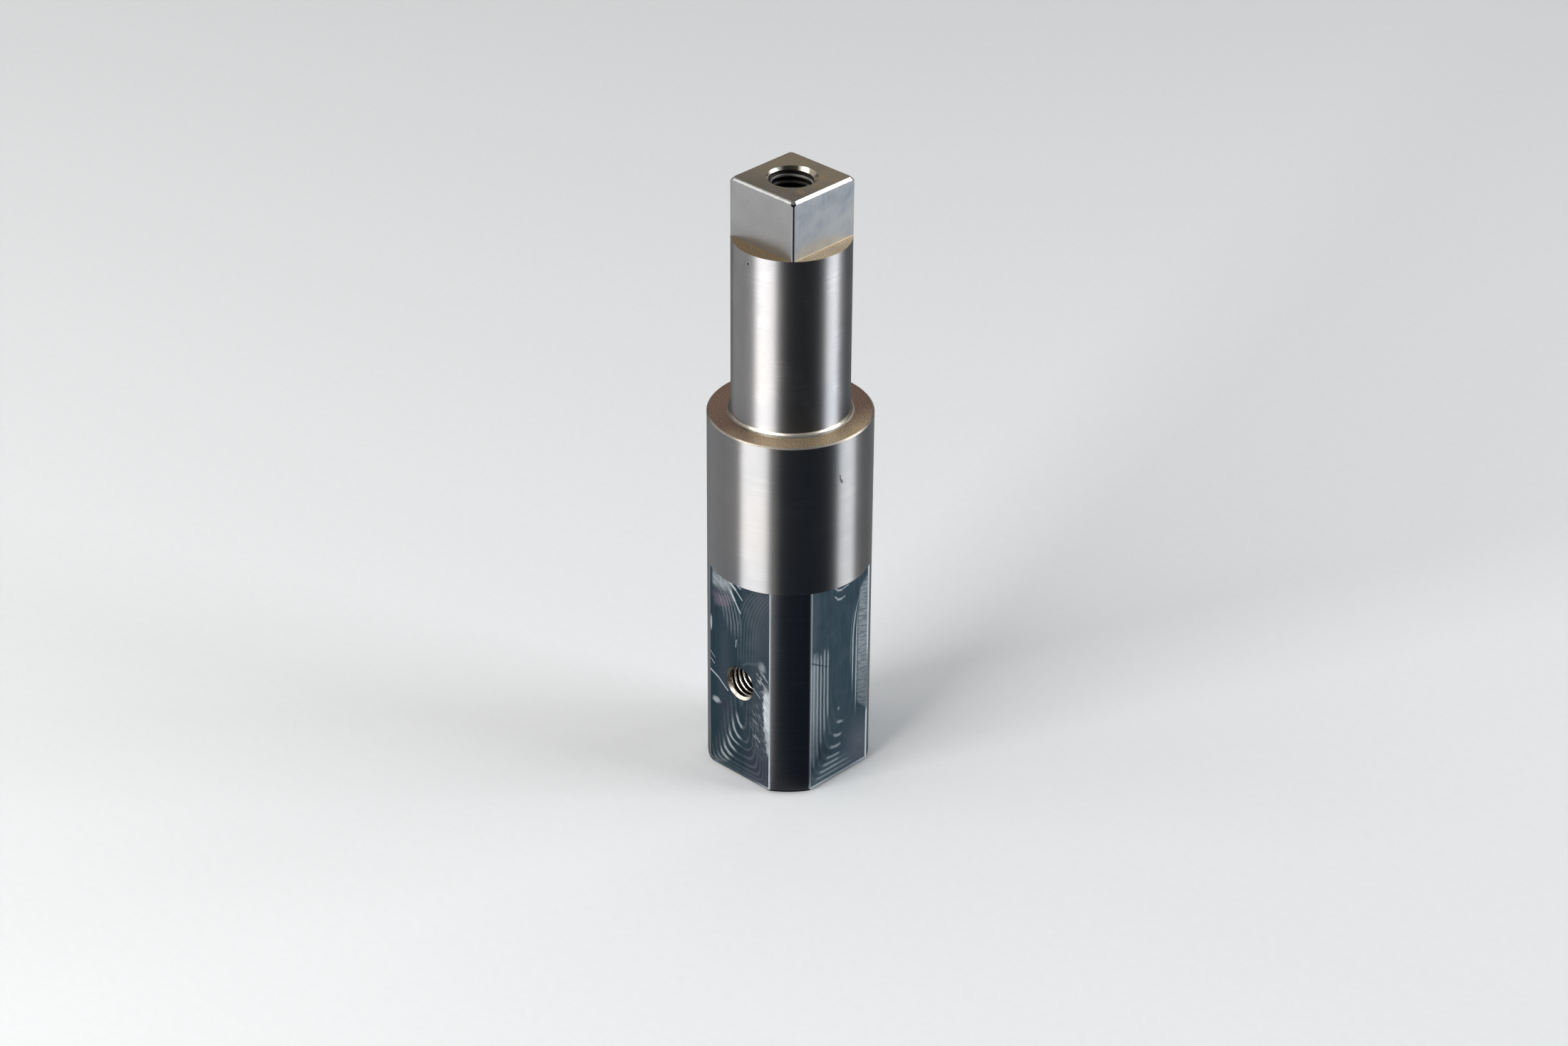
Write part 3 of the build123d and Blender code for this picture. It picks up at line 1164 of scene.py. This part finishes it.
# Painted shade: brown over the rest of the end hole's countersink, and dark over the upper part of the side
# hole's
painted_shade = either((1 - painted_highlights) * at_end * 0.85, ramp(up - side_height, -3.0, -0.8) * (1 - at_end))
steel = mixed(ramp(streaks, 0.3, 0.7), (0.52, 0.48, 0.40), (0.66, 0.62, 0.55))
steel = mixed(painted_highlights * at_end, steel, (0.90, 0.85, 0.74))
steel = mixed(painted_shade, steel, (0.13, 0.106, 0.074))
end_finish(shader, steel, 0.24 + streaks * 0.12, streaks * 0.002)

shader, place = new_finish("tapped_steel")
streaks = noise(place, 1.2, 3)
x, y, up = parts_of(place)
at_end = ramp(up, head_mm - 20, head_mm)
end_groove = ramp(length_of(x, y), end_drill + 0.03, end_drill + 0.1) * at_end
side_groove = ramp(length_of(x, up - side_height), side_drill + 0.03, side_drill + 0.1) * (1 - at_end)
steel = mixed(ramp(streaks, 0.3, 0.7), (0.36, 0.335, 0.30), (0.48, 0.46, 0.43))
# Painted shade: the grooves are darker than the crests
steel = mixed(either(end_groove, side_groove), steel, (0.05, 0.045, 0.04))
# Painted light: the end hole's crests are paler towards its mouth
steel = mixed(at_end * (1 - end_groove), steel, (0.62, 0.60, 0.57))
end_finish(shader, steel, 0.2 + streaks * 0.1 + at_end * 0.15, streaks * 0.0015)

# %% [markdown]
# ## Tying it to the part
#
# The mesh gets its finishes in the order that its faces were sorted in. It
# rides on the part's only body and stands in for the CAD solid.

# %% Tie the mesh to the CAD part
for finish in FINISHES:
    shaft.data.materials.append(finishes[finish])
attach(shaft, "root")
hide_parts("stepped_shaft")
print("slots:", [material.name for material in shaft.data.materials])
print("triangles:", sum(len(polygon.vertices) - 2 for polygon in shaft.data.polygons))

# %% [markdown]
# ## The floor and the light
#
# Polished rounds show their surroundings more than themselves, so the light
# here is a plan of what the shaft reflects. A soft panel at the left and one
# at the right give two upright streaks. Between them the shaft reflects a dark
# card that lies on the floor in front, and that the camera doesn't see. It
# keeps the middle dark, and so the shaft looks round. Two smaller panels hang
# higher, for the rims and for the faces that look up. A weak one fills the far
# left, and another one lights everything from behind and above.
#
# Turns are counted in degrees from the front, where the camera stands, and
# they are positive to the right.

# %% Lay the floor and hang the lamps

aim = Vector((0, 0, top_level / 2))
floor_radius = 3.0
white = (1.0, 1.0, 1.0)
warm_white = (1.0, 0.98, 0.95)


def around(turn, distance, height):
    """A place at some height, by its turn from the front and its distance from the axis."""
    angle = front_turn + radians(turn)
    return Vector((distance * cos(angle), distance * sin(angle), height))


def soft_panel(name, turn, lift, size, brightness, colour, distance=1.2):
    """A rectangular lamp that faces the shaft. Brightness is what its surface looks like, with 1 as white."""
    lamp = bpy.data.lights.new(name, "AREA")
    lamp.shape = "RECTANGLE"
    lamp.size, lamp.size_y = size
    lamp.energy = brightness * pi * size[0] * size[1]
    lamp.color = colour
    panel = bpy.data.objects.new(name, lamp)
    bpy.context.scene.collection.objects.link(panel)
    rise = distance * sin(radians(lift))
    panel.location = around(turn, distance * cos(radians(lift)), aim.z + rise)
    panel.rotation_euler = (panel.location - aim).to_track_quat("Z", "Y").to_euler()
    panel.visible_camera = False


soft_panel("left_panel", -47, 11, (0.82, 0.40), 40, (1.0, 0.99, 0.975))
soft_panel("right_panel", 79.5, 11, (0.55, 0.40), 26, (0.92, 0.965, 1.0))
soft_panel("rim_panel", 103, 37, (0.50, 0.28), 7, white)
soft_panel("high_panel", -79, 50, (0.70, 0.26), 5, warm_white)
soft_panel("fill_panel", -104, 22, (1.25, 0.90), 1.65, white)
soft_panel("back_panel", 180, 48, (1.60, 0.90), 1.2, warm_white, distance=1.3)

world = bpy.data.worlds.new("studio")
bpy.context.scene.world = world
world.use_nodes = True
world.node_tree.nodes["Background"].inputs["Color"].default_value = (0.052, 0.058, 0.068, 1)


def paper_finish(name, inner, outer):
    """A matt colour with a trace of paper grain, which gives way to another away from the axis."""
    shader, place = new_finish(name)
    shader.inputs["Metallic"].default_value = 0
    x, y, _ = parts_of(place)
    grain = noise(place, 0.5)
    colour = mixed(ramp(length_of(x, y), 120, 180), inner, outer)
    grained = mixed(ramp(grain, 0.3, 0.7) * 0.02, colour, white)
    end_finish(shader, grained, 0.87 + grain * 0.06, grain * 0.02, 0.3)
    return finishes[name]


pale = (0.515, 0.52, 0.525)
floor_points = [around(turn, floor_radius, 0) for turn in range(0, 360, 10)]
floor = mesh_piece("floor", floor_points, [tuple(range(len(floor_points)))])
floor.data.materials.append(paper_finish("pale_paper", pale, pale))
card_corners = ((-16, 0.0235), (-16, 0.7), (60, 0.7), (60, 0.0235))
card = mesh_piece("dark_card", [around(turn, out, MM) for turn, out in card_corners], [(0, 1, 2, 3)])
card.data.materials.append(paper_finish("dark_card", (0.0, 0.022, 0.060), (0.004, 0.004, 0.005)))
card.visible_camera = False
card.visible_diffuse = False
card.visible_shadow = False

# %% [markdown]
# ## The camera
#
# The camera stands a little above the shaft and looks down at it by 30
# degrees, through a long lens, so its upright edges stay almost parallel.

# %% Set the camera
camera = bpy.data.cameras.new("camera")
camera.lens = 90.27
camera.sensor_width = 36
camera_object = bpy.data.objects.new("camera", camera)
bpy.context.scene.collection.objects.link(camera_object)
look_turn, look_down, tilt = radians(43.80), radians(30.169), radians(0.385)
aimed = Matrix.Rotation(look_turn, 4, "Z") @ Matrix.Rotation(radians(90) - look_down, 4, "X")
stand = Matrix.Translation((0.49694, -0.51994, 0.47543))
camera_object.matrix_world = stand @ aimed @ Matrix.Rotation(tilt, 4, "Z")
bpy.context.scene.camera = camera_object
bpy.context.scene.view_settings.view_transform = "Standard"
print("camera at", [round(value, 3) for value in camera_object.location])

# %% [markdown]
# ## Last step
#
# Last, the scene is brought up to date.

# %% Bring the scene up to date
bpy.context.view_layer.update()
